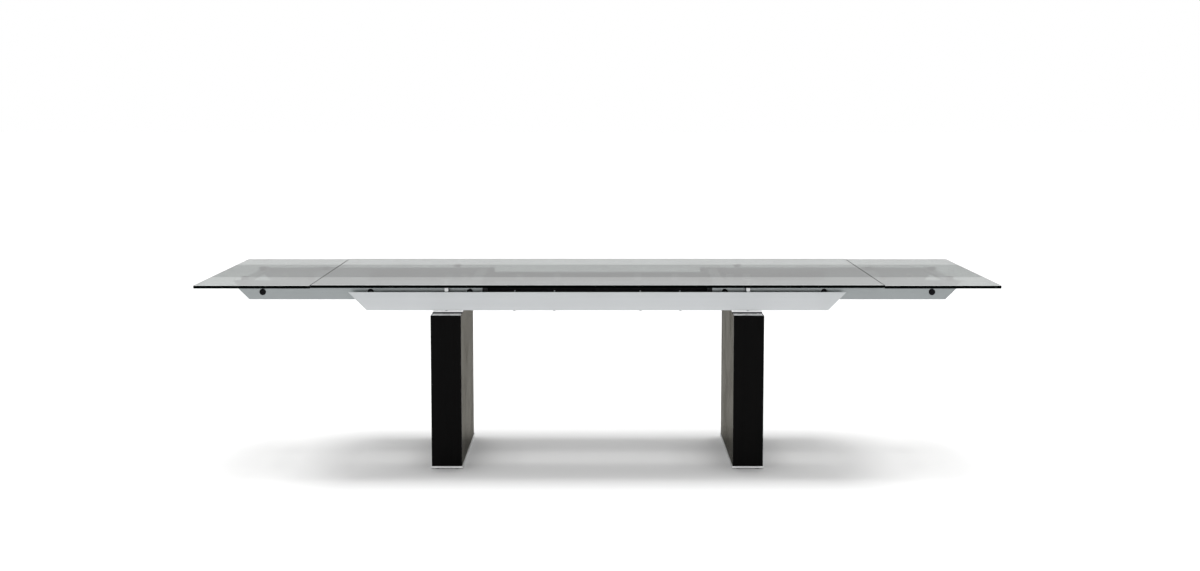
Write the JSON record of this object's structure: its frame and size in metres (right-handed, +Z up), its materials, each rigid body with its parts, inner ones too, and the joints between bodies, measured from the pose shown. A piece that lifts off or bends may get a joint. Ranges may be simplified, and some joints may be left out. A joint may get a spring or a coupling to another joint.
{
  "type": "extendable dining table",
  "caption": "Long rectangular glass dining table on panel legs, with pull-out roller carriages that carry loose glass leaves at its ends.",
  "frame": {"origin": "on the floor under the middle of the glass top", "axes": "+X along the table's length to the right end, +Y from the front to the rear, +Z up"},
  "size_m": [3.1, 1.1, 0.76],
  "materials": {
    "glass": "clear tempered float glass, polished, dark edges",
    "chrome": "bright chrome",
    "beam_metal": "light satin stainless steel",
    "rail_metal": "satin stainless steel",
    "cladding_metal": "brushed stainless steel, vertical grain",
    "plate_metal": "bright satin stainless steel",
    "black_veneer": "black stained veneer, satin, vertical grain",
    "carcass_wood": "bare board",
    "black_steel": "black powder coat",
    "grey_steel": "grey powder coat",
    "zinc_steel": "zinc plated",
    "black_bolt": "black oxide",
    "black_rubber": "matte black rubber",
    "black_plastic": "black moulded nylon",
    "white_nylon": "natural nylon"
  },
  "bodies": {
    "frame": {"centre_glass": "glass", "glass_discs": "chrome", "glass_posts": "chrome", "post_screws": "zinc_steel", "front_beam": "beam_metal", "rear_beam": "beam_metal", "beam_bolts": "zinc_steel", "front_track": "black_steel", "rear_track": "black_steel", "track_brackets": "grey_steel", "bracket_screws": "black_bolt", "track_screws": "zinc_steel", "out_stops": "black_plastic", "centre_stops": "black_plastic", "mount_gaskets": "black_rubber", "tie_bolts": "zinc_steel", "floor_glides": "black_plastic", "left_leg_carcass": "carcass_wood", "left_leg_front_panel": "black_veneer", "left_leg_rear_panel": "black_veneer", "left_leg_inner_cladding": "cladding_metal", "left_leg_outer_cladding": "cladding_metal", "left_leg_base_plate": "plate_metal", "left_leg_top_plate": "plate_metal", "left_mount_plate": "plate_metal", "right_leg_carcass": "carcass_wood", "right_leg_front_panel": "black_veneer", "right_leg_rear_panel": "black_veneer", "right_leg_inner_cladding": "cladding_metal", "right_leg_outer_cladding": "cladding_metal", "right_leg_base_plate": "plate_metal", "right_leg_top_plate": "plate_metal", "right_mount_plate": "plate_metal"},
    "left_carriage": {"left_front_rail": "rail_metal", "left_rear_rail": "rail_metal", "left_inner_bar": "grey_steel", "left_leaf_bars": "grey_steel", "left_axle_bolts": "black_bolt", "left_axle_spacers": "zinc_steel", "left_axle_rings": "zinc_steel", "left_rail_caps": "black_plastic", "left_leaf_pads": "black_rubber"},
    "left_inner_wheels": {"left_inner_rollers": "white_nylon"},
    "left_middle_wheels": {"left_middle_rollers": "white_nylon"},
    "left_outer_wheels": {"left_outer_rollers": "white_nylon"},
    "left_leaf": {"left_leaf": "glass"},
    "right_carriage": {"right_front_rail": "rail_metal", "right_rear_rail": "rail_metal", "right_inner_bar": "grey_steel", "right_leaf_bars": "grey_steel", "right_axle_bolts": "black_bolt", "right_axle_spacers": "zinc_steel", "right_axle_rings": "zinc_steel", "right_rail_caps": "black_plastic", "right_leaf_pads": "black_rubber"},
    "right_inner_wheels": {"right_inner_rollers": "white_nylon"},
    "right_middle_wheels": {"right_middle_rollers": "white_nylon"},
    "right_outer_wheels": {"right_outer_rollers": "white_nylon"},
    "right_leaf": {"right_leaf": "glass"}
  },
  "joints": [
    {"name": "left_carriage_slide", "type": "slide", "parent": "frame", "child": "left_carriage", "axis": [1, 0, 0], "range_m": [0, 0.43]},
    {"name": "left_leaf_lift", "type": "slide", "parent": "frame", "child": "left_leaf", "axis": [0, 0, 1], "range_m": [0, 0.12]},
    {"name": "left_inner_wheel_spin", "type": "hinge", "parent": "left_carriage", "child": "left_inner_wheels", "pos_m": [-0.509, 0, 0.702], "axis": [0, 1, 0], "continuous": true},
    {"name": "left_middle_wheel_spin", "type": "hinge", "parent": "left_carriage", "child": "left_middle_wheels", "pos_m": [-0.905, 0, 0.702], "axis": [0, 1, 0], "continuous": true},
    {"name": "left_outer_wheel_spin", "type": "hinge", "parent": "left_carriage", "child": "left_outer_wheels", "pos_m": [-1.336, 0, 0.702], "axis": [0, 1, 0], "continuous": true},
    {"name": "right_carriage_slide", "type": "slide", "parent": "frame", "child": "right_carriage", "axis": [-1, 0, 0], "range_m": [0, 0.43]},
    {"name": "right_leaf_lift", "type": "slide", "parent": "frame", "child": "right_leaf", "axis": [0, 0, 1], "range_m": [0, 0.12]},
    {"name": "right_inner_wheel_spin", "type": "hinge", "parent": "right_carriage", "child": "right_inner_wheels", "pos_m": [0.509, 0, 0.702], "axis": [0, 1, 0], "continuous": true},
    {"name": "right_middle_wheel_spin", "type": "hinge", "parent": "right_carriage", "child": "right_middle_wheels", "pos_m": [0.905, 0, 0.702], "axis": [0, 1, 0], "continuous": true},
    {"name": "right_outer_wheel_spin", "type": "hinge", "parent": "right_carriage", "child": "right_outer_wheels", "pos_m": [1.336, 0, 0.702], "axis": [0, 1, 0], "continuous": true}
  ],
  "couplings": [
    {"joint": "left_inner_wheel_spin", "follows": "left_carriage_slide", "rad_per_m": 71.429},
    {"joint": "left_middle_wheel_spin", "follows": "left_carriage_slide", "rad_per_m": 71.429},
    {"joint": "left_outer_wheel_spin", "follows": "left_carriage_slide", "rad_per_m": 71.429},
    {"joint": "right_inner_wheel_spin", "follows": "right_carriage_slide", "rad_per_m": -71.429},
    {"joint": "right_middle_wheel_spin", "follows": "right_carriage_slide", "rad_per_m": -71.429},
    {"joint": "right_outer_wheel_spin", "follows": "right_carriage_slide", "rad_per_m": -71.429}
  ]
}
